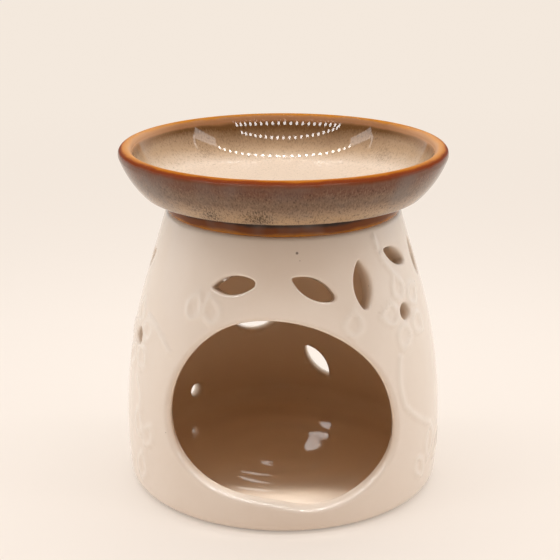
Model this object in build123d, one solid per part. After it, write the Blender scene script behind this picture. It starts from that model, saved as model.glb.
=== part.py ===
"""Essential oil burner: a pierced ceramic shell with a lift-off oil dish on its rim.

Millimetres. The origin is the centre of the base on the table, +Z is up and the tealight door faces -Y.
Angles round the shell are in degrees, start at the door and grow towards +X.
"""

import os
from math import asin, atan2, cos, hypot, radians, sin, sqrt, tan

from build123d import *

# Shell: one turned wall that bulges low down and draws in to a round rim.
shell_height = 94.0
belly_radius = 53.6
belly_height = 20.0
side_bend_height = 45.2
rim_radius = 38.8
wall = 5.2
floor_height = 4.0
floor_corner_radius = 7.0
base_edge_radius = 4.0
rim_outer_edge_radius = 1.8
rim_inner_edge_radius = 1.2
foot_ring_width = 8.0
foot_recess_depth = 1.0

# Door: the hand-cut arch that a tealight goes in through.
door_width = 71.0
door_sill_height = 9.4
door_edge_radius = 1.5
# Height of the band of wall between the door's top and the rim.
band_height = 25.1
# Outline points: share of the door's width from its middle, share of its height from the sill.
door_outline_shares = [
    (0.04, 0.00),
    (0.33, 0.05),
    (0.475, 0.22),
    (0.485, 0.45),
    (0.42, 0.67),
    (0.25, 0.885),
    (-0.02, 1.00),
    (-0.22, 0.965),
    (-0.40, 0.785),
    (-0.50, 0.50),
    (-0.475, 0.25),
    (-0.31, 0.085),
]

# Piercings: leaves with a sharp tip and a rounder heel, and the round eyes of flowers.
leaf_length = 16.0
leaf_width = 6.2
leaf_tip_radius = 0.5
leaf_heel_radius = 1.4
leaf_edge_radius = 0.8
eye_radius = 2.7
eye_edge_radius = 0.8
# Each leaf in the band: angle round the shell, share of the band's height, turn on the wall (at 0 the tip
# points back round the shell) and share of the full leaf size.
band_leaf_shares = [
    (-20.8, 0.412, 11.0, 0.95),
    (12.9, 0.382, -29.0, 1.0),
    (34.5, 0.348, -90.0, 1.04),
    (58.5, 0.577, -31.0, 0.82),
    (80.0, 0.401, -83.0, 0.90),
    (110.0, 0.401, 218.0, 0.90),
    (159.0, 0.412, 11.0, 0.95),
    (193.0, 0.382, -29.0, 1.0),
    (214.5, 0.348, -90.0, 1.04),
    (238.5, 0.577, -31.0, 0.82),
    (274.0, 0.333, 218.0, 0.90),
]
# Each leaf low on the back, in the same order but with a share of the shell's height.
back_leaf_shares = [
    (164.5, 0.222, 51.0, 1.0),
    (192.5, 0.388, 0.0, 1.0),
]
# Each eye: angle round the shell and share of the shell's height.
eye_place_shares = [
    (56.0, 0.702),
    (109.0, 0.575),
    (222.0, 0.135),
    (236.0, 0.702),
    (289.0, 0.575),
]

# Dish: a shallow bowl on a short neck, with a foot ring below it that drops into the shell's rim.
dish_height = 21.0
dish_radius = 54.0
dish_wall = 4.6
dish_arc_radius = 30.0
dish_floor_rise = 7.0
# Share of the widest corner between the bowl's floor and its wall, which would end at the lip.
dish_floor_corner_share = 0.72
dish_base_edge_radius = 2.5
# How far out the base's edge lies between the neck and the lip.
dish_base_share = 0.48
underside_rise = 1.3
neck_height = 4.5
neck_inset = 0.2
neck_top_radius = 1.2
neck_edge_radius = 0.5
foot_clearance = 0.5
foot_depth = 4.0
foot_width = 4.5
foot_edge_radius = 1.2

# How far a cutter runs past the faces that it goes through.
overrun = 2.0

door_top = shell_height - band_height
door_height = door_top - door_sill_height

# The wall's side is an arc, upright at the belly, and above it a straight taper to the rim, tangent to the
# arc. The upright and the taper would meet at the bend.
taper_lean = atan2(belly_radius - rim_radius, shell_height - side_bend_height)
side_arc_radius = (side_bend_height - belly_height) / tan(taper_lean / 2)
side_centre_radius = belly_radius - side_arc_radius


def taper_start(inset=0.0):
    """Height where the side's arc passes into the taper, on the wall's face at an inset."""
    return belly_height + (side_arc_radius - inset) * sin(taper_lean)


def side_lean(height):
    """How far the wall's outward normal tips up at a height, in radians."""
    if height >= taper_start():
        return taper_lean
    return asin((height - belly_height) / side_arc_radius)


def side_radius(height, inset=0.0):
    """Radius of the wall's outer face at a height, or of the face that lies inset behind it."""
    arc_radius = side_arc_radius - inset
    start = taper_start(inset)
    if height >= start:
        return side_centre_radius + arc_radius * cos(taper_lean) - (height - start) * tan(taper_lean)
    return side_centre_radius + sqrt(arc_radius**2 - (height - belly_height) ** 2)


def side_section(bottom, inset):
    """Half section of what lies within the wall's face at an inset, from a bottom height to the rim."""
    start = taper_start(inset)
    foot = (side_radius(bottom, inset), bottom)
    belly = (side_radius(belly_height, inset), belly_height)
    shoulder = (side_radius(start, inset), start)
    rim = (side_radius(shell_height, inset), shell_height)
    outline = [
        ThreePointArc(foot, belly, shoulder),
        Polyline(shoulder, rim, (0, shell_height), (0, bottom), foot),
    ]
    return make_face(Curve() + outline)


def rounded(section, corner, radius):
    """A section with the corner nearest to a point rounded."""
    return fillet(section.vertices().sort_by_distance(corner)[0], radius)


def turned(section):
    """The solid that a half section makes when it is turned about the upright axis."""
    return revolve(Plane.XZ * section, Axis.Z)


def wall_plane(angle, height):
    """A plane on the wall's outer face: x runs round the shell, y up the wall, z outwards."""
    turn = radians(angle)
    lean = side_lean(height)
    radius = side_radius(height)
    return Plane(
        origin=(radius * sin(turn), -radius * cos(turn), height),
        x_dir=(cos(turn), sin(turn), 0),
        z_dir=(cos(lean) * sin(turn), -cos(lean) * cos(turn), sin(lean)),
    )


def between_arcs(half_length, half_width):
    """A face along x between two arcs that meet at its ends."""
    left, right = (-half_length, 0), (half_length, 0)
    upper = ThreePointArc(left, (0, half_width), right)
    lower = ThreePointArc(right, (0, -half_width), left)
    return make_face(Curve() + [upper, lower])


def leaf_outline(size_share):
    """A leaf along x, with its sharp tip at the left."""
    half_length = leaf_length * size_share / 2
    half_width = leaf_width * size_share / 2
    leaf = rounded(between_arcs(half_length, half_width), (-half_length, 0), leaf_tip_radius)
    return rounded(leaf, (half_length, 0), leaf_heel_radius)


def door_outline():
    """The hand-cut arch, seen from the front."""
    points = [(door_width * x, door_sill_height + door_height * z) for x, z in door_outline_shares]
    return make_face(Curve() + [Spline(points, periodic=True)])


def cut_with_round_edges(shell, cutter, is_rounded, edge_radius):
    """The shell less a cutter, with the new edges whose centres pass a test rounded."""
    cut = shell - cutter
    edges = [edge for edge in new_edges(shell, cutter, combined=cut) if is_rounded(edge.center())]
    return fillet(edges, edge_radius)


def pierced(shell, angle, height, outline, edge_radius):
    """The shell with an outline cut square through its wall, and the cut's outer edge rounded."""
    plane = wall_plane(angle, height)
    cutter = extrude(plane * Pos(0, 0, overrun) * outline, -(wall + 2 * overrun))

    def is_outside(point):
        return plane.to_local_coords(point).Z > -wall / 2

    return cut_with_round_edges(shell, cutter, is_outside, edge_radius)


def make_shell():
    """The wall with its floor and foot ring in one casting, opened by the door and the piercings."""
    recess_radius = side_radius(0) - base_edge_radius - foot_ring_width
    recess = Pos(recess_radius / 2, foot_recess_depth / 2) * Rectangle(recess_radius, foot_recess_depth)
    section = side_section(0, 0) - side_section(floor_height, wall) - recess
    section = rounded(section, (side_radius(0), 0), base_edge_radius)
    section = rounded(section, (side_radius(floor_height, wall), floor_height), floor_corner_radius)
    section = rounded(section, (rim_radius, shell_height), rim_outer_edge_radius)
    section = rounded(section, (side_radius(shell_height, wall), shell_height), rim_inner_edge_radius)
    shell = turned(section)

    door = extrude(Plane.XZ * door_outline(), belly_radius + overrun)
    shell = cut_with_round_edges(shell, door, lambda point: True, door_edge_radius)
    for angle, height_share, turn, size_share in band_leaf_shares:
        leaf = Rot(0, 0, turn) * leaf_outline(size_share)
        shell = pierced(shell, angle, door_top + band_height * height_share, leaf, leaf_edge_radius)
    for angle, height_share, turn, size_share in back_leaf_shares:
        leaf = Rot(0, 0, turn) * leaf_outline(size_share)
        shell = pierced(shell, angle, shell_height * height_share, leaf, leaf_edge_radius)
    for angle, height_share in eye_place_shares:
        eye = between_arcs(eye_radius, eye_radius)
        shell = pierced(shell, angle, shell_height * height_share, eye, eye_edge_radius)
    return shell


def circle_meeting(a, a_distance, b, b_distance):
    """The point at the given distances from a and b, on the left of the way from a to b."""
    span = hypot(b[0] - a[0], b[1] - a[1])
    along = (a_distance**2 - b_distance**2 + span**2) / (2 * span)
    aside = sqrt(a_distance**2 - along**2)
    way = ((b[0] - a[0]) / span, (b[1] - a[1]) / span)
    return (a[0] + along * way[0] - aside * way[1], a[1] + along * way[1] + aside * way[0])


def make_dish():
    """The bowl, turned in one with its neck and with the foot ring that centres it in the rim."""
    seat = shell_height
    neck_radius = rim_radius - neck_inset
    neck_top = (neck_radius, seat + neck_height)
    base_radius = neck_radius + (dish_radius - neck_radius) * dish_base_share
    base_edge = (base_radius, seat + neck_height + underside_rise)
    floor = seat + dish_floor_rise
    foot_outer = side_radius(seat, wall) - foot_clearance
    foot_inner = foot_outer - foot_width
    foot_bottom = seat - foot_depth

    # The wall is a band about one arc, which ends in the round lip.
    lip_radius = dish_wall / 2
    outer_radius = dish_arc_radius + lip_radius
    inner_radius = dish_arc_radius - lip_radius
    lip = (dish_radius - lip_radius, seat + dish_height - lip_radius)
    centre = circle_meeting(base_edge, outer_radius, lip, dish_arc_radius)
    lip_angle = atan2(lip[1] - centre[1], lip[0] - centre[0])
    base_angle = atan2(base_edge[1] - centre[1], base_edge[0] - centre[0])
    floor_angle = asin((floor - centre[1]) / inner_radius)
    widest_corner = (inner_radius * sin(lip_angle) + centre[1] - floor) / (1 + sin(lip_angle))

    def on_wall(radius, angle):
        return (centre[0] + radius * cos(angle), centre[1] + radius * sin(angle))

    lip_outer = on_wall(outer_radius, lip_angle)
    lip_inner = on_wall(inner_radius, lip_angle)
    lip_top = (lip[0] - lip_radius * sin(lip_angle), lip[1] + lip_radius * cos(lip_angle))
    floor_edge = on_wall(inner_radius, floor_angle)
    foot_heel, foot_toe = (foot_inner, foot_bottom), (foot_outer, foot_bottom)
    neck_edge = (neck_radius, seat)
    outline = [
        Polyline((0, floor - dish_wall), (foot_inner, floor - dish_wall), foot_heel, foot_toe),
        Polyline(foot_toe, (foot_outer, seat), neck_edge, neck_top, base_edge),
        ThreePointArc(base_edge, on_wall(outer_radius, (base_angle + lip_angle) / 2), lip_outer),
        ThreePointArc(lip_outer, lip_top, lip_inner),
        ThreePointArc(lip_inner, on_wall(inner_radius, (lip_angle + floor_angle) / 2), floor_edge),
        Polyline(floor_edge, (0, floor), (0, floor - dish_wall)),
    ]
    section = make_face(Curve() + outline)
    section = rounded(section, floor_edge, widest_corner * dish_floor_corner_share)
    section = rounded(section, base_edge, dish_base_edge_radius)
    section = rounded(section, neck_top, neck_top_radius)
    section = rounded(section, neck_edge, neck_edge_radius)
    section = rounded(section, foot_heel, foot_edge_radius)
    section = rounded(section, foot_toe, foot_edge_radius)
    return turned(section)


if __name__ == "__main__":
    os.makedirs("parts", exist_ok=True)
    export_step(make_shell(), "parts/burner_shell.step")
    export_step(make_dish(), "parts/oil_dish.step")
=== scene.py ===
"""Looks of an essential oil burner: a pierced shell in cream glaze under a dish in a reactive brown glaze.

Metres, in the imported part's frame: the origin is the centre of the base, +Z is up and the door faces -Y.
Angles round the shell are in degrees, start at the door and grow towards +X.
"""

from functools import partial
from math import atan2, cos, hypot, pi, radians, sin, sqrt, tan

import bmesh
import bpy
from bpy.props import FloatProperty, FloatVectorProperty, IntProperty, PointerProperty
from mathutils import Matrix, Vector


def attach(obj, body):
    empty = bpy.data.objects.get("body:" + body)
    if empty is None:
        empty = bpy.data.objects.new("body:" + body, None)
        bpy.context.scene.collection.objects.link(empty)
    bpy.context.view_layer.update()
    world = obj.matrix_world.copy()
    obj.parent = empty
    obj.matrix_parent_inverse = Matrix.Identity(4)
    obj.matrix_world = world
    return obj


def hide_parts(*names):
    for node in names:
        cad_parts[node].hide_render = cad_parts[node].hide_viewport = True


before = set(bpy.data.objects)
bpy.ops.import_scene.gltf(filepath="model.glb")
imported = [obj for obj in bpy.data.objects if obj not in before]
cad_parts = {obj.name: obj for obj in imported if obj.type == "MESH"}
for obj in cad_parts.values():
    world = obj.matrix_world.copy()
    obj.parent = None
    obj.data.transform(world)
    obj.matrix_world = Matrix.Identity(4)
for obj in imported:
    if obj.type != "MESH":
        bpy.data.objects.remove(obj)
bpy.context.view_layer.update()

bl_info = {
    "name": "Essential Oil Burner",
    "version": (1, 0, 0),
    "blender": (4, 5, 0),
    "location": "3D View > Sidebar > Oil Burner",
    "description": "Builds the glazed shell, the oil dish and the studio of an essential oil burner",
    "category": "Add Mesh",
}

MM = 0.001
# Folds up to this many degrees are shaded smooth.
SMOOTH_ANGLE = 40.0

# The shell's wall: an arc, upright at the belly, then a straight taper to the rim.
SHELL_HEIGHT = 94 * MM
BELLY_RADIUS = 53.6 * MM
BELLY_HEIGHT = 20 * MM
BEND_HEIGHT = 45.2 * MM
RIM_RADIUS = 38.8 * MM
WALL = 5.2 * MM
TAPER_LEAN = atan2(BELLY_RADIUS - RIM_RADIUS, SHELL_HEIGHT - BEND_HEIGHT)
SIDE_ARC = (BEND_HEIGHT - BELLY_HEIGHT) / tan(TAPER_LEAN / 2)
# Faces of the solid that lie this close to the wall's curve, and face outwards this squarely, are wall.
WALL_TOLERANCE = 0.01 * MM
WALL_FACING = 0.8
# The inside, which is glossier, rippled and tinted with painted shade, fades in from and over these shares of
# the wall's thickness, clear of the base and the rim.
INNER_START = 0.1
INNER_SPAN = 0.7
INNER_LOW = 3 * MM
INNER_HIGH = SHELL_HEIGHT - 2 * MM

# A burst bubble in the glaze: angle and height.
PINHOLE = (5.9, 89.4 * MM)

# Relief on one half of the wall, repeated half a turn on. Flowers: angle and height (mm) of the eye.
FLOWERS = [(56.0, 66.0), (-71.0, 54.0)]
# A flower's petals, the first one's turn from the level, and the way from the eye's middle to a petal (mm).
PETALS = 5
PETAL_TURN = 30.0
PETAL_START = 4.4
# Leaves: angle and height of the middle, turn from the level, length and width (mm).
LEAVES = [
    (-37.0, 71.0, 75.0, 8.5, 5.5),
    (-29.0, 71.0, 105.0, 8.5, 5.8),
    (27.5, 67.0, 80.0, 8.0, 6.0),
    (64.5, 19.0, -100.0, 12.0, 6.5),
    (57.0, 12.5, -60.0, 9.0, 5.0),
    (74.0, 15.5, 60.0, 10.0, 5.5),
    (-63.0, 27.0, 95.0, 9.0, 5.0),
    (-55.5, 24.5, 60.0, 9.0, 5.0),
    (-61.0, 12.0, 75.0, 11.0, 6.0),
]
# Steps along a stem, or along one side of a leaf or petal.
RELIEF_STEPS = 16
# Stems: three control points of a bend, each an angle and a height (mm).
STEMS = [
    ((-64.0, 62.5), (-55.0, 61.0), (-46.5, 55.0)),
    ((47.5, 53.0), (44.0, 45.0), (47.7, 37.0)),
    ((47.7, 37.0), (53.0, 31.0), (66.0, 25.0)),
    ((45.0, 91.0), (46.0, 84.0), (54.0, 78.0)),
    ((-66.0, 41.0), (-60.0, 37.0), (-62.0, 31.0)),
]

# The dish: a band of wall about one arc, from the base's edge to the round lip, on a neck and a foot ring.
DISH_TOP = 115 * MM
DISH_RADIUS = 54 * MM
DISH_WALL = 4.6 * MM
DISH_ARC = 30 * MM
BOWL_FLOOR = 101 * MM
BOWL_CORNER_SHARE = 0.72
BASE_EDGE = 2.5 * MM
BASE_SHARE = 0.48
UNDERSIDE_RISE = 1.3 * MM
NECK_HEIGHT = 4.5 * MM
NECK_INSET = 0.2 * MM
NECK_FILLET = 1.2 * MM
NECK_EDGE = 0.5 * MM
FOOT_GAP = 0.5 * MM
FOOT_DEPTH = 4 * MM
FOOT_WIDTH = 4.5 * MM
FOOT_EDGE = 1.2 * MM
# The longest step along the section, and the widest turn of one in degrees.
SECTION_STEP = 0.7 * MM
SECTION_TURN = 8.0
# Length of section that the colour ramps span, and the way along it to the lip's inner side and middle.
RAMP = 100 * MM
LIP_SIDE = 56 * MM
LIP_MIDDLE = 58 * MM
# Patches of dark crystals on the bowl's wall: angle and size (mm).
SMUDGES = [(-27.0, 5.0), (-9.0, 6.0), (64.0, 5.0), (128.0, 6.5), (-141.0, 6.0), (-83.0, 4.5)]
SMUDGE_RADIUS = 47 * MM
SMUDGE_HEIGHT = 102.5 * MM

# The camera, level from side to side and tipped down.
CAMERA = Vector((-1.07, -440.0, 209.4)) * MM
CAMERA_TIP = 17.82
CAMERA_LENS = 87.9

# Strips of light under the roof, in front of the burner and behind it.
ROOF = 300 * MM
STRIP_SIZE = (350 * MM, 15 * MM)
FRONT_STRIP = (0, -100 * MM, ROOF)
BACK_STRIP = (0, 75 * MM, ROOF)
# A narrow lamp over the floor behind the door, and the angle that it spreads to.
DOOR_LAMP = (0, -40 * MM, 63 * MM)
DOOR_LAMP_SIZE = (44 * MM, 5 * MM)
DOOR_LAMP_SPREAD = 30.0
# Rows of lamps as the bowl mirrors them: lamps, left and right end, radius of the row's bend, and how far
# back its middle lies (mm).
LAMP_ROWS = [
    (20, -16.7, 20.2, 48.9, 48.9),
    (19, -14.8, 19.5, 110.0, 46.2),
    (21, -22.6, 23.7, 230.0, 39.6),
]
# Lamps stand closer towards the ends of a row, as if spaced evenly on an arc that turns this far each way.
LAMP_FAN = radians(50)
# A mirrored lamp's half width and half height on the glaze, its corners and its strength.
LAMP_WIDTH = 0.5 * MM
LAMP_LENGTH = 0.72 * MM
LAMP_CORNERS = 8
LAMP_GLOW = 34.0
# Two slanting panes of the roof as the bowl mirrors them to its left and right: angles from the back,
# radii at these angles, width, steps along a pane and strength.
PANE_TURNS = (31.0, 42.0)
PANE_REACH = (44.8 * MM, 47.8 * MM)
PANE_WIDTH = 2.2 * MM
PANE_STEPS = 8
PANE_GLOW = 6.5
# An upright card behind the burner.
CARD_BACK = 150 * MM
CARD_WIDTH = 84 * MM
CARD_LOW = 60 * MM
CARD_HIGH = 120 * MM


def linear(code):
    """Linear RGBA of an sRGB hex colour."""
    parts = [int(code[i:i + 2], 16) / 255 for i in (1, 3, 5)]
    return tuple(c / 12.92 if c <= 0.04045 else ((c + 0.055) / 1.055) ** 2.4 for c in parts) + (1.0,)


def colour(name, description, code):
    """A colour property with an sRGB hex default."""
    return FloatVectorProperty(
        name=name, description=description, subtype="COLOR", size=4, min=0, max=1, default=linear(code)
    )


def length(name, description, millimetres):
    """A length property with a default in millimetres."""
    return FloatProperty(name=name, description=description, unit="LENGTH", min=0, default=millimetres * MM)


def amount(name, description, default):
    """A power or strength property."""
    return FloatProperty(name=name, description=description, min=0, default=default)


class ShellSettings(bpy.types.PropertyGroup):
    """Sizes and colours of the shell."""

    mesh_step: length("Mesh Step", "Longest edge of the wall's mesh", 1.6)
    relief_height: length("Relief Height", "How far the flowers and leaves stand off the wall", 0.4)
    relief_width: length("Relief Width", "Half the width of a raised line", 1.7)
    petal_length: length("Petal Length", "Length of a flower's petal", 8.0)
    petal_width: length("Petal Width", "Greatest width of a petal", 6.4)
    cream: colour("Cream", "The glaze where it lies thick", "#F3EADF")
    shade: colour("Shade", "The glaze in its greyer clouds", "#ECDFD1")
    # Paler on raised lines: partly thinner glaze, partly a painted highlight on the ridges.
    thin: colour("Thin Glaze", "The glaze on raised lines", "#F2E9DE")
    # Painted shade: the warmer, darker buff that tints the inside for the shade in it.
    inside_shade_tint: colour("Buff", "The thin clear glaze over buff clay inside", "#EED3B4")
    clay: colour("Bare Clay", "The wiped foot ring", "#D8C3A6")
    speck: colour("Speck", "Iron specks and pits in the glaze", "#4A3626")


class DishSettings(bpy.types.PropertyGroup):
    """Sizes and colours of the dish."""

    sides: IntProperty(name="Sides", description="Steps round the dish", min=12, default=288)
    pool: colour("Pool", "The pale glaze pooled inside the bowl", "#DAC7B3")
    tan: colour("Tan", "The glaze where the bowl's floor turns up", "#B69A7C")
    umber: colour("Umber", "The dark wall inside the bowl", "#6A4A2C")
    bronze: colour("Bronze", "The inner side of the lip", "#9A6C48")
    honey: colour("Honey", "The palest amber, on top of the lip and at the neck's foot", "#AE6E1C")
    amber: colour("Amber", "Glaze that runs thin over the lip", "#AC6208")
    rust: colour("Rust", "The dark edge of the amber", "#7C3202")
    # Painted sheen: the paler lip at the left and right ends, standing in for the white walls that it would
    # mirror.
    painted_lip_sheen: colour("Oat", "Milky glaze inside the lip, to the left and right", "#D9AE88")
    plum: colour("Plum", "The band just under the lip", "#775240")
    fur: colour("Fur", "The grey-brown of the bowl's wall", "#826955")
    mist: colour("Mist", "Bluish clouds in the fur", "#7B726C")
    sand: colour("Sand", "The pale glaze that gathers low on the bowl", "#B5997A")
    # Also the underside's dark band, partly dark glaze and partly painted shadow under the bowl.
    ink: colour("Ink", "Dark crystals in the glaze", "#32241B")
    toffee: colour("Toffee", "The deep amber of the neck", "#743A02")
    clay: colour("Bare Clay", "The unglazed foot ring", "#D8C3A6")


class StageSettings(bpy.types.PropertyGroup):
    """The floor and the light."""

    paper: colour("Paper", "The floor", "#F2E8DF")
    backdrop: colour("Backdrop", "The floor as it is seen where the light is even", "#F5EADE")
    even: amount("Evenness", "Share of even light on the floor", 0.46)
    floor_reach: length("Floor Reach", "From the floor's middle to its edge", 4000.0)
    front_strip: amount("Front Strip", "Its power in watts", 0.22)
    back_strip: amount("Back Strip", "Its power in watts", 0.255)
    door_lamp: amount("Door Lamp", "Its power in watts", 0.0018)
    walls: amount("Walls", "Strength of the white walls", 0.82)
    sides: amount("Sides", "Strength of the walls to the left and right", 1.2)
    roof: amount("Roof", "Strength of the white roof", 1.2)
    front: amount("Front", "Strength of the open front", 0.14)
    warm: colour("Warm Front", "Colour of the light from the open front", "#FFC080")
    mirrored: amount("Mirrored", "Strength of the walls that gloss mirrors", 0.9)
    card: amount("Card", "Strength of the card that gloss mirrors", 1.4)
    dark: amount("Dark Front", "Strength of the front that gloss mirrors", 0.05)


def add_node(tree, kind, inputs=None, **settings):
    """Adds a node with its settings, and fills its inputs with values or links."""
    made = tree.nodes.new(kind)
    for name, value in settings.items():
        setattr(made, name, value)
    for key, value in (inputs or {}).items():
        if isinstance(value, bpy.types.NodeSocket):
            tree.links.new(value, made.inputs[key])
        else:
            made.inputs[key].default_value = value
    return made


def add_object(name, data):
    """A new object in the scene."""
    made = bpy.data.objects.new(name, data)
    bpy.context.scene.collection.objects.link(made)
    return made


def new_tree(name, sizes):
    """A geometry tree with named inputs, given as name: socket type, and its input and output nodes."""
    tree = bpy.data.node_groups.new(name, "GeometryNodeTree")
    tree.interface.new_socket("Geometry", in_out="INPUT", socket_type="NodeSocketGeometry")
    for label, kind in sizes.items():
        tree.interface.new_socket(label, in_out="INPUT", socket_type=kind)
    tree.interface.new_socket("Geometry", in_out="OUTPUT", socket_type="NodeSocketGeometry")
    return tree, add_node(tree, "NodeGroupInput")


def bake(piece, tree, values):
    """Runs a geometry tree on a piece with named input values, and leaves the result as its plain mesh."""
    modifier = piece.modifiers.new(tree.name, "NODES")
    modifier.node_group = tree
    sockets = {s.name: s.identifier for s in tree.interface.items_tree if s.in_out == "INPUT"}
    for name, value in values.items():
        modifier[sockets[name]] = value
    graph = bpy.context.evaluated_depsgraph_get()
    result = piece.evaluated_get(graph)
    mesh = bpy.data.meshes.new_from_object(result, preserve_all_data_layers=True, depsgraph=graph)
    piece.modifiers.clear()
    old = piece.data
    piece.data = mesh
    bpy.data.meshes.remove(old)
    mesh.name = piece.name
    mesh.set_sharp_from_angle(angle=radians(SMOOTH_ANGLE))


def wall_radius(height, inset=0.0):
    """Radius of the shell's outer face at a height, or of the face that lies inset behind it."""
    arc = SIDE_ARC - inset
    centre = BELLY_RADIUS - SIDE_ARC
    start = BELLY_HEIGHT + arc * sin(TAPER_LEAN)
    if height >= start:
        return centre + arc * cos(TAPER_LEAN) - (height - start) * tan(TAPER_LEAN)
    return centre + sqrt(arc**2 - (height - BELLY_HEIGHT) ** 2)


def wall_point(angle, height):
    """The point of the shell's outer face at an angle and a height."""
    radius = wall_radius(height)
    turn = radians(angle)
    return Vector((radius * sin(turn), -radius * cos(turn), height))


def refine(bm, mark, inset, step):
    """Cuts the wall's face at an inset into small triangles on its true curve, and marks them."""

    def off_wall(vert):
        return abs(hypot(vert.co.x, vert.co.y) - wall_radius(vert.co.z, inset))

    for face in bm.faces:
        middle = face.calc_center_median()
        outward = Vector((middle.x, middle.y, 0)).normalized()
        squarely = abs(face.normal.dot(outward)) > WALL_FACING
        if squarely and all(off_wall(v) < WALL_TOLERANCE for v in face.verts):
            face.material_index = mark
    while True:
        faces = [f for f in bm.faces if f.material_index == mark]
        edges = [e for e in {e for f in faces for e in f.edges} if e.calc_length() > step]
        if not edges:
            return
        made = bmesh.ops.subdivide_edges(bm, edges=edges, cuts=1)
        for vert in made["geom_inner"]:
            if isinstance(vert, bmesh.types.BMVert):
                grow = wall_radius(vert.co.z, inset) / hypot(vert.co.x, vert.co.y)
                vert.co.x *= grow
                vert.co.y *= grow
        bmesh.ops.triangulate(bm, faces=[f for f in bm.faces if len(f.verts) > 3])


def shell_blank(step):
    """A merged copy of the shell's solid, with a wall fine enough to model on and marked as such."""
    mesh = bpy.data.meshes.new("glazed_shell")
    bm = bmesh.new()
    bm.from_mesh(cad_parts["burner_shell"].data)
    bmesh.ops.remove_doubles(bm, verts=bm.verts, dist=0.0001 * MM)
    for face in bm.faces:
        face.material_index = 0
        face.smooth = True
    refine(bm, 1, 0.0, step)
    refine(bm, 2, WALL, 2 * step)
    wall = bm.verts.layers.float.new("wall")
    inner = bm.verts.layers.float.new("inner")
    for vert in bm.verts:
        vert[wall] = float(all(f.material_index == 1 for f in vert.link_faces))
        depth = wall_radius(vert.co.z) - hypot(vert.co.x, vert.co.y)
        if INNER_LOW < vert.co.z < INNER_HIGH:
            vert[inner] = min(1.0, max(0.0, depth / WALL - INNER_START) / INNER_SPAN)
    for face in bm.faces:
        face.material_index = 0
    bm.to_mesh(mesh)
    bm.free()
    mesh.materials.clear()
    return mesh


def relief_lines(settings):
    """The lines of the flowers, leaves and stems on the wall, as a mesh of edges."""
    strips = []

    def lens(angle, height, turn, size, width, start=0.0):
        """A leaf or petal outline, from a start distance along its turn."""
        across = wall_radius(height * MM) / MM
        way = radians(turn)
        strip = []
        for i in range(2 * RELIEF_STEPS + 1):
            share = 1 - abs(i / RELIEF_STEPS - 1)
            side = width / 2 * sin(pi * share**0.8) * (1 if i <= RELIEF_STEPS else -1)
            along = start + size * share
            u = along * cos(way) - side * sin(way)
            v = along * sin(way) + side * cos(way)
            strip.append((angle + u / across * 180 / pi, height + v * cos(TAPER_LEAN / 2)))
        return strip

    petal, broad = settings.petal_length / MM, settings.petal_width / MM
    for angle, height in FLOWERS:
        turns = [PETAL_TURN + 360 / PETALS * i for i in range(PETALS)]
        strips += [lens(angle, height, turn, petal, broad, PETAL_START) for turn in turns]
    for angle, height, turn, size, width in LEAVES:
        strips.append(lens(angle, height, turn, size, width, -size / 2))
    for a, b, c in STEMS:
        shares = [i / RELIEF_STEPS for i in range(RELIEF_STEPS + 1)]
        strips.append([
            tuple(p * (1 - t) ** 2 + 2 * q * t * (1 - t) + r * t * t for p, q, r in zip(a, b, c))
            for t in shares
        ])
    points, edges = [], []
    for half_turn in (0, 180):
        for strip in strips:
            edges += [(len(points) + i, len(points) + i + 1) for i in range(len(strip) - 1)]
            points += [wall_point(angle + half_turn, height * MM) for angle, height in strip]
    mesh = bpy.data.meshes.new("relief_lines")
    mesh.from_pydata(points, edges, [])
    return mesh


def relief_tree():
    """Raises a wall along lines, and keeps how much in the attribute relief."""
    tree, given = new_tree("Relief", {
        "Lines": "NodeSocketObject",
        "Width": "NodeSocketFloat",
        "Height": "NodeSocketFloat",
        "Glaze": "NodeSocketMaterial",
    })
    node = partial(add_node, tree)
    lines = node("GeometryNodeObjectInfo", {"Object": given.outputs["Lines"]})
    near = node("GeometryNodeProximity", {0: lines.outputs["Geometry"]}, target_element="EDGES")
    rise = node("ShaderNodeMapRange", {
        "Value": near.outputs["Distance"], "From Min": 0.0, "From Max": given.outputs["Width"],
        "To Min": 1.0, "To Max": 0.0,
    }, interpolation_type="SMOOTHSTEP")
    wall = node("GeometryNodeInputNamedAttribute", {"Name": "wall"}, data_type="FLOAT")
    on_wall = node("ShaderNodeMath", {
        0: rise.outputs["Result"], 1: wall.outputs["Attribute"],
    }, operation="MULTIPLY")
    kept = node("GeometryNodeStoreNamedAttribute", {
        "Geometry": given.outputs["Geometry"], "Name": "relief", "Value": on_wall.outputs[0],
    }, data_type="FLOAT", domain="POINT")
    relief = node("GeometryNodeInputNamedAttribute", {"Name": "relief"}, data_type="FLOAT")
    height = node("ShaderNodeMath", {
        0: relief.outputs["Attribute"], 1: given.outputs["Height"],
    }, operation="MULTIPLY")
    normal = node("GeometryNodeInputNormal")
    offset = node("ShaderNodeVectorMath", {
        0: normal.outputs[0], "Scale": height.outputs[0],
    }, operation="SCALE")
    moved = node("GeometryNodeSetPosition", {
        "Geometry": kept.outputs[0], "Offset": offset.outputs[0],
    })
    real = node("GeometryNodeRealizeInstances", {0: moved.outputs[0]})
    glazed = node("GeometryNodeSetMaterial", {0: real.outputs[0], "Material": given.outputs["Glaze"]})
    node("NodeGroupOutput", {0: glazed.outputs[0]})
    return tree


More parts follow.
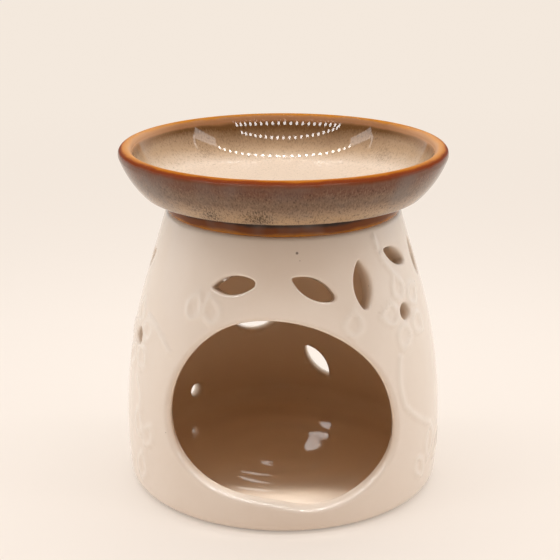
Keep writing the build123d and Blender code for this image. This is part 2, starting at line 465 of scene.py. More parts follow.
def dish_section():
    """Half section of the dish as (radius, height), from the bowl's middle over the lip to the underside."""
    neck = RIM_RADIUS - NECK_INSET
    neck_top = Vector((neck, SHELL_HEIGHT + NECK_HEIGHT))
    base = Vector((neck + (DISH_RADIUS - neck) * BASE_SHARE, neck_top.y + UNDERSIDE_RISE))
    lip_radius = DISH_WALL / 2
    outer, inner = DISH_ARC + lip_radius, DISH_ARC - lip_radius
    lip = Vector((DISH_RADIUS - lip_radius, DISH_TOP - lip_radius))

    def angle_of(way):
        return atan2(way.y, way.x)

    # The wall's centre lies at known distances from the base's edge and from the middle of the lip.
    span = (lip - base).length
    way = (lip - base) / span
    along = (outer**2 - DISH_ARC**2 + span**2) / (2 * span)
    centre = base + along * way + sqrt(outer**2 - along**2) * Vector((-way.y, way.x))
    lip_angle = angle_of(lip - centre)

    # The bowl's corner rounds from the floor into the wall.
    widest = (inner * sin(lip_angle) + centre.y - BOWL_FLOOR) / (1 + sin(lip_angle))
    corner_radius = widest * BOWL_CORNER_SHARE
    rise = BOWL_FLOOR + corner_radius - centre.y
    corner = centre + Vector((sqrt((inner - corner_radius) ** 2 - rise**2), rise))
    corner_angle = angle_of(corner - centre)

    # The base's edge rounds from the wall into the underside, and that rounds into the neck.
    under = (base - neck_top).normalized()
    slope = angle_of(under)
    start = neck_top + BASE_EDGE * Vector((-under.y, under.x)) - centre
    back = start.dot(under)
    ahead = sqrt(back**2 - start.length_squared + (outer - BASE_EDGE) ** 2) - back
    base_edge = centre + start + under * ahead
    neck_fillet = neck_top + NECK_FILLET * Vector((1, tan(slope) - 1 / cos(slope)))

    foot_outer = wall_radius(SHELL_HEIGHT, WALL) - FOOT_GAP
    foot_inner = foot_outer - FOOT_WIDTH
    toe_height = SHELL_HEIGHT - FOOT_DEPTH + FOOT_EDGE
    # Arcs as centre, radius, first and last angle. A radius of zero is a plain point.
    arcs = [
        (Vector((0, BOWL_FLOOR)), 0, 0, 0),
        (corner, corner_radius, -pi / 2, corner_angle),
        (centre, inner, corner_angle, lip_angle),
        (lip, lip_radius, lip_angle + pi, lip_angle),
        (centre, outer, lip_angle, angle_of(base_edge - centre)),
        (base_edge, BASE_EDGE, angle_of(base_edge - centre), slope - pi / 2),
        (neck_fillet, NECK_FILLET, slope + pi / 2, pi),
        (Vector((neck - NECK_EDGE, SHELL_HEIGHT + NECK_EDGE)), NECK_EDGE, 0, -pi / 2),
        (Vector((foot_outer, SHELL_HEIGHT)), 0, 0, 0),
        (Vector((foot_outer - FOOT_EDGE, toe_height)), FOOT_EDGE, 0, -pi / 2),
        (Vector((foot_inner + FOOT_EDGE, toe_height)), FOOT_EDGE, -pi / 2, -pi),
        (Vector((foot_inner, BOWL_FLOOR - DISH_WALL)), 0, 0, 0),
        (Vector((0, BOWL_FLOOR - DISH_WALL)), 0, 0, 0),
    ]
    points = []
    for middle, radius, first, last in arcs:
        sweep = abs(last - first)
        steps = max(1, round(sweep / radians(SECTION_TURN)), round(radius * sweep / SECTION_STEP))
        for i in range(steps + 1):
            angle = first + (last - first) * i / steps
            point = middle + radius * Vector((cos(angle), sin(angle)))
            if not points or (point - points[-1]).length > SECTION_STEP / 100:
                points.append(point)
    return points


def section_curve():
    """The dish's section as a poly curve, with radius along x and height along z."""
    points = dish_section()
    curve = bpy.data.curves.new("dish_section", "CURVE")
    curve.dimensions = "3D"
    spline = curve.splines.new("POLY")
    spline.points.add(len(points) - 1)
    spline.points.foreach_set("co", [c for p in points for c in (p.x, 0.0, p.y, 1.0)])
    return curve


def lathe_tree():
    """Turns a section about the upright axis, and keeps the way along it in the attribute run."""
    tree, given = new_tree("Lathe", {
        "Section": "NodeSocketObject",
        "Sides": "NodeSocketInt",
        "Glaze": "NodeSocketMaterial",
    })
    node = partial(add_node, tree)
    section = node("GeometryNodeObjectInfo", {"Object": given.outputs["Section"]}).outputs["Geometry"]
    count = node("GeometryNodeAttributeDomainSize", {0: section}, component="CURVE").outputs["Point Count"]
    columns = node("ShaderNodeMath", {0: given.outputs["Sides"], 1: 1.0}, operation="ADD").outputs[0]
    grid = node("GeometryNodeMeshGrid", {"Vertices X": columns, "Vertices Y": count}).outputs["Mesh"]
    index = node("GeometryNodeInputIndex").outputs[0]
    row = node("ShaderNodeMath", {0: index, 1: count}, operation="FLOORED_MODULO").outputs[0]
    part = node("ShaderNodeMath", {0: index, 1: count}, operation="DIVIDE").outputs[0]
    column = node("ShaderNodeMath", {0: part}, operation="FLOOR").outputs[0]
    full = node("ShaderNodeMath", {0: column, 1: 2 * pi}, operation="MULTIPLY").outputs[0]
    turn = node("ShaderNodeMath", {0: full, 1: given.outputs["Sides"]}, operation="DIVIDE").outputs[0]
    place = node("GeometryNodeInputPosition").outputs[0]
    on_line = node("GeometryNodeSampleIndex", {
        "Geometry": section, "Value": place, "Index": row,
    }, data_type="FLOAT_VECTOR").outputs[0]
    along = node("GeometryNodeSplineParameter").outputs["Length"]
    run = node("GeometryNodeSampleIndex", {
        "Geometry": section, "Value": along, "Index": row,
    }, data_type="FLOAT").outputs[0]
    kept = node("GeometryNodeStoreNamedAttribute", {
        "Geometry": grid, "Name": "run", "Value": run,
    }, data_type="FLOAT", domain="POINT").outputs[0]
    turned = node("ShaderNodeVectorRotate", {
        "Vector": on_line, "Angle": turn,
    }, rotation_type="Z_AXIS").outputs[0]
    placed = node("GeometryNodeSetPosition", {"Geometry": kept, "Position": turned}).outputs[0]
    closed = node("GeometryNodeMergeByDistance", {"Geometry": placed, "Distance": 0.001 * MM}).outputs[0]
    smooth = node("GeometryNodeSetShadeSmooth", {"Geometry": closed}).outputs[0]
    real = node("GeometryNodeRealizeInstances", {0: smooth}).outputs[0]
    glazed = node("GeometryNodeSetMaterial", {0: real, "Material": given.outputs["Glaze"]}).outputs[0]
    node("NodeGroupOutput", {0: glazed})
    return tree


def cream_glaze(settings):
    """Cream glaze on cast stoneware: an even, satin-glossy skin, paler on raised lines, partly where it thins
    there and partly as a painted highlight, and tinted inside with painted shade.
    """
    material = bpy.data.materials.new("cream_glazed_stoneware")
    material.use_nodes = True
    tree = material.node_tree
    node = partial(add_node, tree)
    shader = tree.nodes["Principled BSDF"]
    place = node("ShaderNodeTexCoord").outputs["Object"]

    # Clouds about 25 mm wide in the glaze's thickness, with finer mottling down to 1 mm.
    cloud = node("ShaderNodeTexNoise", {
        "Vector": place, "Scale": 1 / (25 * MM), "Detail": 5.0, "Roughness": 0.65,
    })
    body = node("ShaderNodeMix", {
        "Factor": cloud.outputs["Fac"], 6: settings.cream, 7: settings.shade,
    }, data_type="RGBA").outputs[2]
    # Paler on raised lines: partly the glaze thinning there, partly a painted highlight on the ridges.
    relief = node("ShaderNodeAttribute", attribute_name="relief").outputs["Fac"]
    thinned_and_highlit = node("ShaderNodeMix", {
        "Factor": relief, 6: body, 7: settings.thin,
    }, data_type="RGBA").outputs[2]
    # Painted shade: the inside is tinted a warmer, darker buff for the shade that falls in it, less so low on
    # the floor just behind the door, where light comes in.
    inner = node("ShaderNodeAttribute", attribute_name="inner").outputs["Fac"]
    axes = node("ShaderNodeSeparateXYZ", {0: place})
    deep = node("ShaderNodeMapRange", {
        "Value": axes.outputs["Y"], "From Min": -40 * MM, "From Max": -15 * MM, "To Min": 0.3, "To Max": 1.0,
    }).outputs[0]
    high = node("ShaderNodeMapRange", {
        "Value": axes.outputs["Z"], "From Min": 10 * MM, "From Max": 40 * MM, "To Min": 0.3, "To Max": 1.0,
    }).outputs[0]
    thin = node("ShaderNodeMath", {0: deep, 1: high}, operation="MAXIMUM").outputs[0]
    inside_shade_share = node("ShaderNodeMath", {0: inner, 1: thin}, operation="MULTIPLY").outputs[0]
    inside_shaded = node("ShaderNodeMix", {
        "Factor": inside_shade_share, 6: thinned_and_highlit, 7: settings.inside_shade_tint,
    }, data_type="RGBA").outputs[2]

    # Iron specks 0.2 to 0.4 mm across, where the middle of a cell of about 9 mm happens to lie in the skin.
    cell = node("ShaderNodeTexVoronoi", {"Vector": place, "Scale": 1 / (9 * MM)})
    speck = node("ShaderNodeMapRange", {
        "Value": cell.outputs["Distance"], "From Min": 0.012, "From Max": 0.022, "To Min": 0.6, "To Max": 0.0,
    }).outputs[0]
    away = node("ShaderNodeVectorMath", {
        0: place, 1: wall_point(*PINHOLE),
    }, operation="DISTANCE").outputs["Value"]
    pit = node("ShaderNodeMapRange", {
        "Value": away, "From Min": 0.2 * MM, "From Max": 0.55 * MM, "To Min": 0.8, "To Max": 0.0,
    }).outputs[0]
    spots = node("ShaderNodeMath", {0: speck, 1: pit}, operation="MAXIMUM").outputs[0]
    specked = node("ShaderNodeMix", {
        "Factor": spots, 6: inside_shaded, 7: settings.speck,
    }, data_type="RGBA").outputs[2]

    # The foot ring is wiped bare where it stands.
    bare = node("ShaderNodeMapRange", {
        "Value": axes.outputs["Z"], "From Min": 0.3 * MM, "From Max": 0.6 * MM, "To Min": 1.0, "To Max": 0.0,
    }).outputs[0]
    footed = node("ShaderNodeMix", {
        "Factor": bare, 6: specked, 7: settings.clay,
    }, data_type="RGBA").outputs[2]
    tree.links.new(footed, shader.inputs["Base Color"])

    gloss = node("ShaderNodeMapRange", {"Value": inner, "To Min": 0.1, "To Max": 0.06}).outputs[0]
    dull = node("ShaderNodeMath", {0: gloss, 1: bare}, operation="MAXIMUM").outputs[0]
    tree.links.new(dull, shader.inputs["Roughness"])
    shader.inputs["IOR"].default_value = 1.5

    # The skin waves gently, 5 mm from crest to crest, and inside the floor has rings 13 mm apart: the wave
    # texture turns by 20 radians in a unit.
    wave = node("ShaderNodeTexNoise", {"Vector": place, "Scale": 1 / (5 * MM), "Detail": 1.0}).outputs["Fac"]
    rings = node("ShaderNodeTexWave", {
        "Vector": place, "Scale": 2 * pi / (20 * 13 * MM), "Distortion": 3.0,
        "Detail": 1.0, "Detail Scale": 0.5,
    }, wave_type="RINGS", rings_direction="Z").outputs["Fac"]
    deeper = node("ShaderNodeMath", {0: inner, 1: 6.0}, operation="MULTIPLY").outputs[0]
    ripple = node("ShaderNodeMath", {0: rings, 1: deeper, 2: wave}, operation="MULTIPLY_ADD").outputs[0]
    bump = node("ShaderNodeBump", {"Height": ripple, "Strength": 0.25, "Distance": 0.12 * MM})
    tree.links.new(bump.outputs[0], shader.inputs["Normal"])
    return material


def brown_glaze(settings):
    """Reactive brown glaze: glassy amber where it runs thin, streaked grey-brown where it lies thick."""
    material = bpy.data.materials.new("reactive_brown_glazed_stoneware")
    material.use_nodes = True
    tree = material.node_tree
    node = partial(add_node, tree)
    shader = tree.nodes["Principled BSDF"]
    place = node("ShaderNodeTexCoord").outputs["Object"]
    run = node("ShaderNodeAttribute", attribute_name="run").outputs["Fac"]

    # The way round the dish, as a point on a unit circle, joins up with itself where an angle would not.
    level = node("ShaderNodeVectorMath", {0: place, 1: (1.0, 1.0, 0.0)}, operation="MULTIPLY").outputs[0]
    circle = node("ShaderNodeVectorMath", {0: level}, operation="NORMALIZE").outputs[0]
    upward = node("ShaderNodeCombineXYZ", {"Z": run}).outputs[0]

    # Borders between the bands wander by half a millimetre over stretches of 9 mm.
    wander = node("ShaderNodeTexNoise", {
        "Vector": place, "Scale": 1 / (9 * MM), "Detail": 3.0,
    }).outputs["Fac"]
    shift = node("ShaderNodeMapRange", {
        "Value": wander, "To Min": -1.2 * MM, "To Max": 1.2 * MM,
    }).outputs[0]
    wandering = node("ShaderNodeMath", {0: run, 1: shift}, operation="ADD").outputs[0]
    # Painted sheen: inside, the pale pool's bands are pushed further up the wall to the left and right, where
    # the wall would mirror the bright side walls.
    x = node("ShaderNodeSeparateXYZ", {0: place}).outputs["X"]
    aside = node("ShaderNodeMath", {0: x}, operation="ABSOLUTE").outputs[0]
    reach = node("ShaderNodeMapRange", {
        "Value": aside, "From Min": 18 * MM, "From Max": 44 * MM, "To Min": 0.0, "To Max": 6 * MM,
    }).outputs[0]
    inside = node("ShaderNodeMapRange", {
        "Value": run, "From Min": 51.5 * MM, "From Max": 55 * MM, "To Min": 1.0, "To Max": 0.0,
    }).outputs[0]
    pooled = node("ShaderNodeMath", {0: reach, 1: inside}, operation="MULTIPLY").outputs[0]
    wandering = node("ShaderNodeMath", {0: wandering, 1: pooled}, operation="SUBTRACT").outputs[0]
    share = node("ShaderNodeMath", {0: wandering, 1: RAMP}, operation="DIVIDE").outputs[0]
    # Bands in millimetres along the section: bowl, lip, outside, underside, neck, seat.
    bands = node("ShaderNodeValToRGB", {"Fac": share})
    stops = [
        (0.0, settings.pool), (37.0, settings.pool), (43.5, settings.tan), (52.3, settings.umber),
        (53.8, settings.umber), (55.0, settings.bronze), (56.4, settings.bronze), (57.4, settings.honey),
        (58.2, settings.honey), (59.0, settings.amber), (59.8, settings.rust), (60.5, settings.rust),
        (61.6, settings.plum), (63.6, settings.plum), (67.0, settings.fur), (69.0, settings.fur),
        # The underside is ink-dark: partly dark glaze gathered there, partly painted shadow under the bowl's
        # curve.
        (74.0, settings.sand), (76.6, settings.sand), (78.4, settings.ink), (85.5, settings.ink),
        (86.4, settings.toffee), (87.6, settings.toffee), (88.5, settings.honey), (89.4, settings.honey),
        (90.2, settings.clay),
    ]
    # How strongly streaks and specks show along the section.
    on_wall = node("ShaderNodeValToRGB", {"Fac": share})
    steps = [
        (0.0, 0.3), (40.0, 0.5), (52.0, 0.6), (54.0, 0.1), (61.0, 0.1), (64.0, 1.0), (76.0, 1.0), (78.0, 0.0),
    ]
    levels = [(millimetres, (value, value, value, 1.0)) for millimetres, value in steps]
    for ramp, marks in ((bands, stops), (on_wall, levels)):
        elements = ramp.color_ramp.elements
        while len(elements) < len(marks):
            elements.new(0.5)
        for element, (millimetres, value) in zip(elements, marks):
            element.position = millimetres * MM / RAMP
            element.color = value

    # Streaks 0.4 mm wide and 0.9 mm long that run down a wall of about 50 mm radius.
    across = node("ShaderNodeVectorMath", {0: circle, "Scale": 50 / 0.4}, operation="SCALE").outputs[0]
    down = node("ShaderNodeVectorMath", {0: upward, "Scale": 1 / (0.9 * MM)}, operation="SCALE").outputs[0]
    along = node("ShaderNodeVectorMath", {0: across, 1: down}, operation="ADD").outputs[0]
    streak = node("ShaderNodeTexNoise", {"Vector": along, "Scale": 1.0, "Detail": 4.0}).outputs["Fac"]

    # Dark crystals gather in patches low on the wall, broken up by the streaks.
    nearest = None
    for angle, size in SMUDGES:
        turn = radians(angle)
        spot = Vector((sin(turn), -cos(turn), 0)) * SMUDGE_RADIUS + Vector((0, 0, SMUDGE_HEIGHT))
        away = node("ShaderNodeVectorMath", {0: place, 1: spot}, operation="DISTANCE").outputs["Value"]
        part = node("ShaderNodeMath", {0: away, 1: size * MM}, operation="DIVIDE").outputs[0]
        nearest = part if nearest is None else node("ShaderNodeMath", {
            0: nearest, 1: part,
        }, operation="MINIMUM").outputs[0]
    gathered = node("ShaderNodeMapRange", {
        "Value": nearest, "From Min": 0.2, "From Max": 1.0, "To Min": 0.22, "To Max": 0.0,
    }).outputs[0]
    crystal = node("ShaderNodeMath", {0: streak, 1: gathered}, operation="ADD").outputs[0]
    dark = node("ShaderNodeMapRange", {
        "Value": crystal, "From Min": 0.52, "From Max": 0.8, "To Min": 0.0, "To Max": 0.85,
    }).outputs[0]
    dark_here = node("ShaderNodeMath", {
        0: dark, 1: on_wall.outputs["Color"],
    }, operation="MULTIPLY").outputs[0]
    darkened = node("ShaderNodeMix", {
        "Factor": dark_here, 6: bands.outputs["Color"], 7: settings.ink,
    }, data_type="RGBA").outputs[2]
    pale = node("ShaderNodeMapRange", {
        "Value": streak, "From Min": 0.46, "From Max": 0.3, "To Min": 0.0, "To Max": 0.3,
    }).outputs[0]
    pale_here = node("ShaderNodeMath", {
        0: pale, 1: on_wall.outputs["Color"],
    }, operation="MULTIPLY").outputs[0]
    streaked = node("ShaderNodeMix", {
        "Factor": pale_here, 6: darkened, 7: settings.sand,
    }, data_type="RGBA").outputs[2]

    # Specks 0.5 mm across all over the thick glaze.
    grit = node("ShaderNodeTexNoise", {
        "Vector": place, "Scale": 1 / (0.9 * MM), "Detail": 2.0,
    }).outputs["Fac"]
    specks = node("ShaderNodeMapRange", {
        "Value": grit, "From Min": 0.56, "From Max": 0.7, "To Min": 0.0, "To Max": 0.45,
    }).outputs[0]
    specks_here = node("ShaderNodeMath", {
        0: specks, 1: on_wall.outputs["Color"],
    }, operation="MULTIPLY").outputs[0]
    furred = node("ShaderNodeMix", {
        "Factor": specks_here, 6: streaked, 7: settings.ink,
    }, data_type="RGBA").outputs[2]

    # Bluish clouds 14 mm wide on the outside.
    haze = node("ShaderNodeTexNoise", {"Vector": place, "Scale": 1 / (14 * MM), "Detail": 2.0}).outputs["Fac"]
    misty = node("ShaderNodeMapRange", {
        "Value": haze, "From Min": 0.5, "From Max": 0.75, "To Min": 0.0, "To Max": 0.55,
    }).outputs[0]
    outside = node("ShaderNodeMapRange", {
        "Value": run, "From Min": 60 * MM, "From Max": 62 * MM,
    }).outputs[0]
    misty_here = node("ShaderNodeMath", {0: misty, 1: outside}, operation="MULTIPLY").outputs[0]
    clouded = node("ShaderNodeMix", {
        "Factor": misty_here, 6: furred, 7: settings.mist,
    }, data_type="RGBA").outputs[2]

    # Painted sheen: the inner side of the lip is painted paler to the left and right, where its gloss would
    # mirror the white side walls.
    off_side = node("ShaderNodeMath", {0: run, 1: LIP_SIDE}, operation="SUBTRACT").outputs[0]
    off_side = node("ShaderNodeMath", {0: off_side}, operation="ABSOLUTE").outputs[0]
    on_side = node("ShaderNodeMapRange", {
        "Value": off_side, "From Min": 1 * MM, "From Max": 4 * MM, "To Min": 0.45, "To Max": 0.0,
    }).outputs[0]
    at_ends = node("ShaderNodeMapRange", {
        "Value": aside, "From Min": 36 * MM, "From Max": 51 * MM, "To Min": 0.0, "To Max": 1.0,
    }).outputs[0]
    sheen_share = node("ShaderNodeMath", {0: on_side, 1: at_ends}, operation="MULTIPLY").outputs[0]
    sheened = node("ShaderNodeMix", {
        "Factor": sheen_share, 6: clouded, 7: settings.painted_lip_sheen,
    }, data_type="RGBA").outputs[2]
    tree.links.new(sheened, shader.inputs["Base Color"])

    # The pool on the bowl's floor is satin, the lip is worn dull, and the seat is bare clay.
    satin = node("ShaderNodeMapRange", {
        "Value": run, "From Min": 35 * MM, "From Max": 40 * MM, "To Min": 0.24, "To Max": 0.02,
    }).outputs[0]
    bare = node("ShaderNodeMapRange", {
        "Value": share, "From Min": 0.895, "From Max": 0.902, "To Min": 0.0, "To Max": 0.8,
    }).outputs[0]
    off_lip = node("ShaderNodeMath", {0: run, 1: LIP_MIDDLE}, operation="SUBTRACT").outputs[0]
    lip = node("ShaderNodeMath", {0: off_lip}, operation="ABSOLUTE").outputs[0]
    worn = node("ShaderNodeMapRange", {
        "Value": lip, "From Min": 2.4 * MM, "From Max": 3.4 * MM, "To Min": 0.5, "To Max": 0.0,
    }).outputs[0]
    soft = node("ShaderNodeMath", {0: satin, 1: worn}, operation="MAXIMUM").outputs[0]
    faded = node("ShaderNodeMapRange", {
        "Value": worn, "From Min": 0.0, "From Max": 0.5, "To Min": 0.5, "To Max": 0.1,
    }).outputs[0]
    tree.links.new(faded, shader.inputs["Specular IOR Level"])
    dull = node("ShaderNodeMath", {0: soft, 1: bare}, operation="MAXIMUM").outputs[0]
    tree.links.new(dull, shader.inputs["Roughness"])
    shader.inputs["IOR"].default_value = 1.3

    # Outside, the glass surface waves a little, 4 mm from crest to crest. Inside it lies still.
    wave = node("ShaderNodeTexNoise", {"Vector": place, "Scale": 1 / (4 * MM), "Detail": 1.0}).outputs["Fac"]
    waves = node("ShaderNodeMath", {0: wave, 1: outside}, operation="MULTIPLY").outputs[0]
    bump = node("ShaderNodeBump", {"Height": waves, "Strength": 0.2, "Distance": 0.03 * MM})
    tree.links.new(bump.outputs[0], shader.inputs["Normal"])
    return material


def paper(settings):
    """Pale matt paper for the floor, which keeps the object's shadow and evens out with distance."""
    material = bpy.data.materials.new("pale_matt_paper")
    material.use_nodes = True
    tree = material.node_tree
    node = partial(add_node, tree)
    shader = tree.nodes["Principled BSDF"]
    shader.inputs["Base Color"].default_value = settings.paper
    shader.inputs["Roughness"].default_value = 0.9
    shader.inputs["Specular IOR Level"].default_value = 0.1
    even = node("ShaderNodeEmission", {"Color": settings.backdrop, "Strength": 1.0}).outputs[0]
    path = node("ShaderNodeLightPath")
    seen = node("ShaderNodeMath", {
        0: path.outputs["Is Camera Ray"], 1: path.outputs["Is Glossy Ray"],
    }, operation="MAXIMUM").outputs[0]
    place = node("ShaderNodeTexCoord").outputs["Object"]
    away = node("ShaderNodeVectorMath", {0: place}, operation="LENGTH").outputs["Value"]
    # Even light starts at the edge of the shadow under the belly, and grows with distance.
    clear = node("ShaderNodeMapRange", {
        "Value": away, "From Min": 47 * MM, "From Max": 51 * MM, "To Min": 0.0, "To Max": 1.0,
    }).outputs[0]
    spread = node("ShaderNodeMapRange", {
        "Value": away, "From Min": 0.05, "From Max": 0.7, "To Min": settings.even, "To Max": 0.9,
    }).outputs[0]
    outward = node("ShaderNodeMath", {0: clear, 1: spread}, operation="MULTIPLY").outputs[0]
    share = node("ShaderNodeMath", {0: seen, 1: outward}, operation="MULTIPLY").outputs[0]
    mixed = node("ShaderNodeMixShader", {0: share, 1: shader.outputs[0], 2: even}).outputs[0]
    tree.links.new(mixed, tree.nodes["Material Output"].inputs["Surface"])
    return material


def white_tent(settings):
    """White walls and roof with an open front, that the camera sees as the backdrop's colour."""
    world = bpy.data.worlds.new("white_tent")
    world.use_nodes = True
    tree = world.node_tree
    node = partial(add_node, tree)
    path = node("ShaderNodeLightPath")
    way = node("ShaderNodeTexCoord").outputs["Generated"]
    way = node("ShaderNodeSeparateXYZ", {0: way})
    front = node("ShaderNodeMapRange", {
        "Value": way.outputs["Y"], "From Min": -0.2, "From Max": -0.9,
    }).outputs[0]
    roof = node("ShaderNodeMapRange", {
        "Value": way.outputs["Z"], "From Min": 0.5, "From Max": 0.9,
    }).outputs[0]
    aside = node("ShaderNodeMath", {0: way.outputs["X"]}, operation="ABSOLUTE").outputs[0]
    sided = node("ShaderNodeMapRange", {
        "Value": aside, "From Min": 0.3, "From Max": 0.9, "To Min": settings.walls, "To Max": settings.sides,
    }).outputs[0]
    roofed = node("ShaderNodeMix", {0: roof, 2: sided, 3: settings.roof}).outputs[0]
    lit = node("ShaderNodeMix", {0: front, 2: roofed, 3: settings.front}).outputs[0]
    # Gloss mirrors the white back wall, and darkness from the front and from between the roof's lamps.
    behind = node("ShaderNodeMapRange", {
        "Value": way.outputs["Y"], "From Min": -0.45, "From Max": 0.1,
        "To Min": settings.dark, "To Max": settings.mirrored,
    }).outputs[0]
    below = node("ShaderNodeMapRange", {
        "Value": way.outputs["Z"], "From Min": 0.08, "From Max": 0.32, "To Min": 1.0, "To Max": 0.2,
    }).outputs[0]
    mirrored = node("ShaderNodeMath", {0: behind, 1: below}, operation="MULTIPLY").outputs[0]
    level = node("ShaderNodeMix", {0: path.outputs["Is Glossy Ray"], 2: lit, 3: mirrored}).outputs[0]
    tint = node("ShaderNodeMix", {
        "Factor": front, 6: (1.0, 1.0, 1.0, 1.0), 7: settings.warm,
    }, data_type="RGBA").outputs[2]
    walls = tree.nodes["Background"]
    tree.links.new(tint, walls.inputs["Color"])
    tree.links.new(level, walls.inputs["Strength"])
    backdrop = node("ShaderNodeBackground", {"Color": settings.backdrop, "Strength": 1.0}).outputs[0]
    shown = node("ShaderNodeMixShader", {
        0: path.outputs["Is Camera Ray"], 1: walls.outputs[0], 2: backdrop,
    }).outputs[0]
    tree.links.new(shown, tree.nodes["World Output"].inputs["Surface"])
    return world


def add_light(name, place, size, power, spread=180, mirrored=False):
    """A soft oblong lamp that shines straight down, and that gloss mirrors or not."""
    light = bpy.data.lights.new(name, "AREA")
    light.shape = "RECTANGLE"
    light.size, light.size_y = size
    light.energy = power
    light.spread = radians(spread)
    lamp = add_object(name, light)
    lamp.location = place
    lamp.visible_glossy = mirrored


def mirror_spot(x, y, profile):
    """Where under the roof the camera looks to when it looks at a place of the bowl, given in plan."""
    reach = hypot(x, y)
    i = next(i for i, (point, normal) in enumerate(profile) if point.x > reach)
    (inner, inner_normal), (outer, outer_normal) = profile[i - 1], profile[i]
    share = (reach - inner.x) / (outer.x - inner.x)
    lean = inner_normal.lerp(outer_normal, share)
    place = Vector((x, y, inner.lerp(outer, share).y))
    normal = Vector((lean.x * x / reach, lean.x * y / reach, lean.y)).normalized()
    ray = (place - CAMERA).reflect(normal)
    return place + ray * ((ROOF - place.z) / ray.z), normal


def bowl_profile():
    """Points of the bowl's section from its middle out to the lip, each with its normal."""
    section = dish_section()
    profile = []
    for before, point, after in zip(section, section[1:], section[2:]):
        if profile and point.x <= profile[-1][0].x:
            break
        way = (point - before).normalized() + (after - point).normalized()
        profile.append((point, Vector((-way.y, way.x)).normalized()))
    return profile


def add_mirrored(name, corners, faces, strength):
    """A glowing thing of the stage that nothing but gloss shows."""
    mesh = bpy.data.meshes.new(name)
    mesh.from_pydata(corners, [], faces)
    glow = bpy.data.materials.new(f"{name}_glow")
    glow.use_nodes = True
    shader = glow.node_tree.nodes["Principled BSDF"]
    shader.inputs["Emission Color"].default_value = (1.0, 1.0, 1.0, 1.0)
    shader.inputs["Emission Strength"].default_value = strength
    mesh.materials.append(glow)
    thing = add_object(name, mesh)
    thing.visible_camera = False
    thing.visible_diffuse = False
    thing.visible_shadow = False


def add_lamps(profile):
    """Small lamps under the roof that only gloss mirrors, where the bowl shows them as rows of dots."""
    corners, faces = [], []
    for count, left, right, bend, back in LAMP_ROWS:
        for i in range(count):
            out = sin(LAMP_FAN * (2 * i / (count - 1) - 1)) / sin(LAMP_FAN)
            across = (left + right) / 2 + (right - left) / 2 * out
            x, y = across * MM, (back - bend + sqrt(bend**2 - across**2)) * MM
            high = LAMP_LENGTH * mirror_spot(x, y, profile)[1].z
            faces.append(range(len(corners), len(corners) + LAMP_CORNERS))
            for k in range(LAMP_CORNERS):
                turn = 2 * pi / LAMP_CORNERS * k
                corners.append(mirror_spot(x + LAMP_WIDTH * cos(turn), y + high * sin(turn), profile)[0])
    add_mirrored("roof_lamps", corners, faces, LAMP_GLOW)


def add_panes(profile):
    """Two panes under the roof that only gloss mirrors, where the bowl shows them beside the rows."""
    corners, faces = [], []
    for side in (-1, 1):
        for i in range(PANE_STEPS + 1):
            share = i / PANE_STEPS
            turn = radians(PANE_TURNS[0] + (PANE_TURNS[1] - PANE_TURNS[0]) * share)
            reach = PANE_REACH[0] + (PANE_REACH[1] - PANE_REACH[0]) * share
            if i > 0:
                last = len(corners)
                faces.append((last - 2, last - 1, last + 1, last))
            for end in (reach, reach + PANE_WIDTH):
                corners.append(mirror_spot(side * end * sin(turn), end * cos(turn), profile)[0])
    add_mirrored("roof_panes", corners, faces, PANE_GLOW)


def add_card(strength):
    """An upright white card behind the burner."""
    half = CARD_WIDTH / 2
    outline = [(-half, CARD_LOW), (half, CARD_LOW), (half, CARD_HIGH), (-half, CARD_HIGH)]
    corners = [(x, CARD_BACK, z) for x, z in outline]
    add_mirrored("back_card", corners, [(0, 1, 2, 3)], strength)


class BURNER_OT_shell(bpy.types.Operator):
    """Builds the pierced shell with its relief of flowers and leaves"""

    bl_idname = "burner.shell"
    bl_label = "Shell"

    def execute(self, context):
        settings = context.scene.burner_shell
        shell = add_object("glazed_shell", shell_blank(settings.mesh_step))
        lines = add_object("relief_lines", relief_lines(settings))
        bake(shell, relief_tree(), {
            "Lines": lines,
            "Width": settings.relief_width,
            "Height": settings.relief_height,
            "Glaze": cream_glaze(settings),
        })
        bpy.data.objects.remove(lines)
        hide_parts("burner_shell")
        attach(shell, "shell")
        return {"FINISHED"}


class BURNER_OT_dish(bpy.types.Operator):
    """Turns the oil dish from its section"""

    bl_idname = "burner.dish"
    bl_label = "Dish"

    def execute(self, context):
        settings = context.scene.burner_dish
        dish = add_object("glazed_dish", bpy.data.meshes.new("glazed_dish"))
        section = add_object("dish_section", section_curve())
        bake(dish, lathe_tree(), {
            "Section": section,
            "Sides": settings.sides,
            "Glaze": brown_glaze(settings),
        })
        bpy.data.objects.remove(section)
        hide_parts("oil_dish")
        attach(dish, "dish")
        return {"FINISHED"}


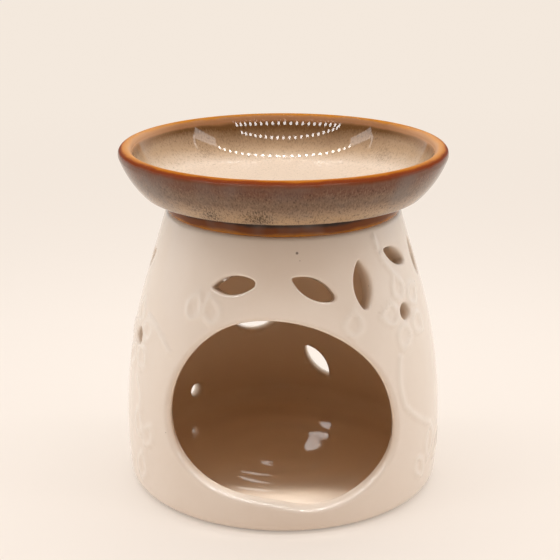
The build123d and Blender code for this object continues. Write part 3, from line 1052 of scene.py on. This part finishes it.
class BURNER_OT_stage(bpy.types.Operator):
    """Lays the pale floor and sets the lights and the camera"""

    bl_idname = "burner.stage"
    bl_label = "Stage"

    def execute(self, context):
        settings = context.scene.burner_stage
        mesh = bpy.data.meshes.new("paper_floor")
        reach = settings.floor_reach
        corners = [(-reach, -reach, 0), (reach, -reach, 0), (reach, reach, 0), (-reach, reach, 0)]
        mesh.from_pydata(corners, [], [(0, 1, 2, 3)])
        mesh.materials.append(paper(settings))
        add_object("paper_floor", mesh)
        add_light("front_strip", FRONT_STRIP, STRIP_SIZE, settings.front_strip)
        add_light("back_strip", BACK_STRIP, STRIP_SIZE, settings.back_strip)
        add_light("door_lamp", DOOR_LAMP, DOOR_LAMP_SIZE, settings.door_lamp, DOOR_LAMP_SPREAD, True)
        profile = bowl_profile()
        add_lamps(profile)
        add_panes(profile)
        add_card(settings.card)
        context.scene.world = white_tent(settings)
        context.scene.view_settings.view_transform = "Standard"

        lens = bpy.data.cameras.new("camera")
        lens.lens = CAMERA_LENS
        camera = add_object("camera", lens)
        camera.location = CAMERA
        camera.rotation_euler = (radians(90 - CAMERA_TIP), 0, 0)
        context.scene.camera = camera
        return {"FINISHED"}


class BURNER_PT_panel(bpy.types.Panel):
    """Lists the burner's settings and the buttons that build it"""

    bl_idname = "BURNER_PT_panel"
    bl_label = "Oil Burner"
    bl_space_type = "VIEW_3D"
    bl_region_type = "UI"
    bl_category = "Oil Burner"

    def draw(self, context):
        for name in GROUPS:
            group = getattr(context.scene, f"burner_{name}")
            column = self.layout.column()
            for key in group.bl_rna.properties.keys():
                if key not in ("rna_type", "name"):
                    column.prop(group, key)
            column.operator(f"burner.{name}")


GROUPS = {"shell": ShellSettings, "dish": DishSettings, "stage": StageSettings}
CLASSES = (*GROUPS.values(), BURNER_OT_shell, BURNER_OT_dish, BURNER_OT_stage, BURNER_PT_panel)


def register():
    for cls in CLASSES:
        bpy.utils.register_class(cls)
    for name, group in GROUPS.items():
        setattr(bpy.types.Scene, f"burner_{name}", PointerProperty(type=group))


def unregister():
    for name in GROUPS:
        delattr(bpy.types.Scene, f"burner_{name}")
    for cls in reversed(CLASSES):
        bpy.utils.unregister_class(cls)


def main():
    register()
    bpy.ops.burner.shell()
    bpy.ops.burner.dish()
    bpy.ops.burner.stage()


if __name__ == "__main__":
    main()
